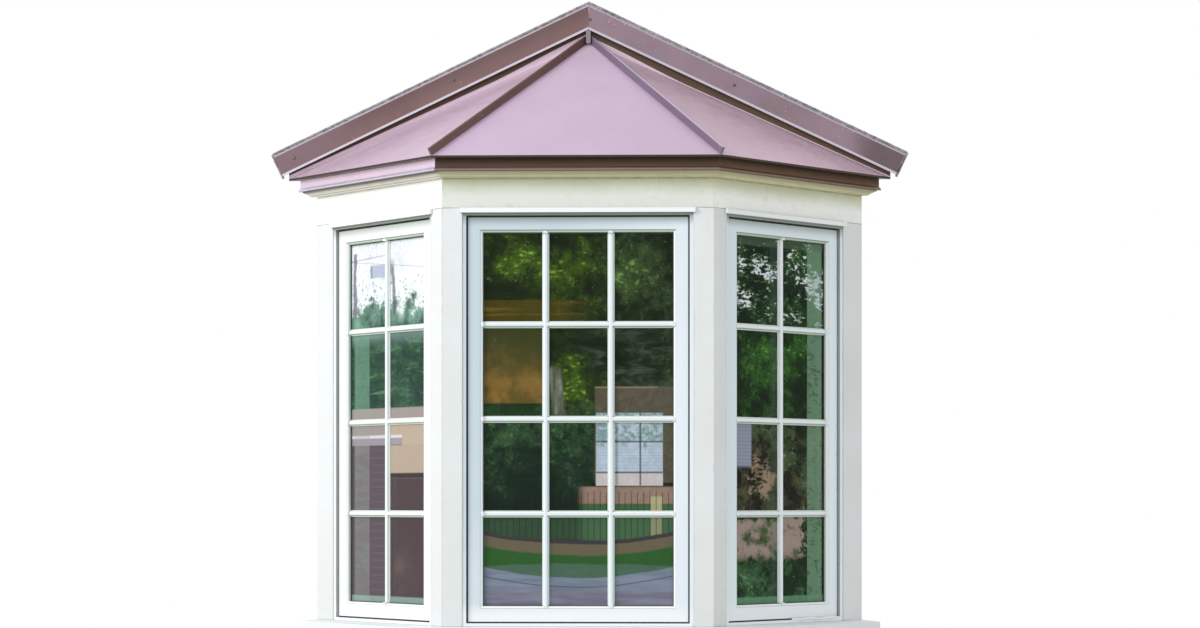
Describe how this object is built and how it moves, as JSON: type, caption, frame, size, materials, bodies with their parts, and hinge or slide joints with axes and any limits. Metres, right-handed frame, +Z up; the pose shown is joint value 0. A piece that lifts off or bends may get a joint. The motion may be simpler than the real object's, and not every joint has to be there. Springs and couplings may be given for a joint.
{
  "type": "canted bay window with a three-sided metal hip roof",
  "caption": "Canted bay window: three small-paned windows in white trim, hipped sheet-metal roof with wall flashing; hangs on a wall.",
  "frame": {"origin": "centre of the back of the wall ledger under the seat board, on the wall plane", "axes": "+Z up, +Y into the house square to the wall, +X to the right as seen from outside"},
  "size_m": [2.231, 0.5833, 2.3464],
  "materials": {
    "trim_paint": "satin white paint on wood, dull and a little stained",
    "cornice_paint": "cream white paint, stained yellow-green under the eaves",
    "window_finish": "cool white, smooth, semi-gloss",
    "window_glass": "clear sealed unit, looks dark green by day",
    "roof_metal": "dark brown coated steel sheet, semi-gloss",
    "inner_paint": "white painted interior boards",
    "raw_timber": "sawn softwood",
    "plywood": "sheathing plywood",
    "foot_board": "painted exterior plywood",
    "sealant": "rough grey sealant, weathered"
  },
  "bodies": {
    "root": {"apex_cap": "roof_metal", "apron_boards": "trim_paint", "bars_front": "window_finish", "bars_left": "window_finish", "bars_right": "window_finish", "base_mouldings": "trim_paint", "bed_mouldings": "cornice_paint", "bottom_board": "foot_board", "corner_boards_left": "trim_paint", "corner_boards_right": "trim_paint", "corner_post_left": "inner_paint", "corner_post_right": "inner_paint", "eave_blocks": "raw_timber", "end_board_left": "trim_paint", "end_board_right": "trim_paint", "fascia_front": "roof_metal", "fascia_left": "roof_metal", "fascia_right": "roof_metal", "flashing_battens": "raw_timber", "frieze_front": "cornice_paint", "frieze_left": "cornice_paint", "frieze_right": "cornice_paint", "glass_front": "window_glass", "glass_left": "window_glass", "glass_right": "window_glass", "head_board": "inner_paint", "head_rims": "raw_timber", "hip_seam_left": "roof_metal", "hip_seam_right": "roof_metal", "rafters": "raw_timber", "roof_deck": "plywood", "roof_panel_front": "roof_metal", "roof_panel_left": "roof_metal", "roof_panel_right": "roof_metal", "sash_front": "window_finish", "sash_left": "window_finish", "sash_right": "window_finish", "sealant": "sealant", "seat_board": "inner_paint", "seat_rims": "raw_timber", "sill_front": "trim_paint", "sill_left": "trim_paint", "sill_right": "trim_paint", "wall_flashing_left": "roof_metal", "wall_flashing_right": "roof_metal", "wall_ledger": "raw_timber", "wall_post_left": "inner_paint", "wall_post_right": "inner_paint", "window_frame_front": "window_finish", "window_frame_left": "window_finish", "window_frame_right": "window_finish"}
  },
  "joints": []
}
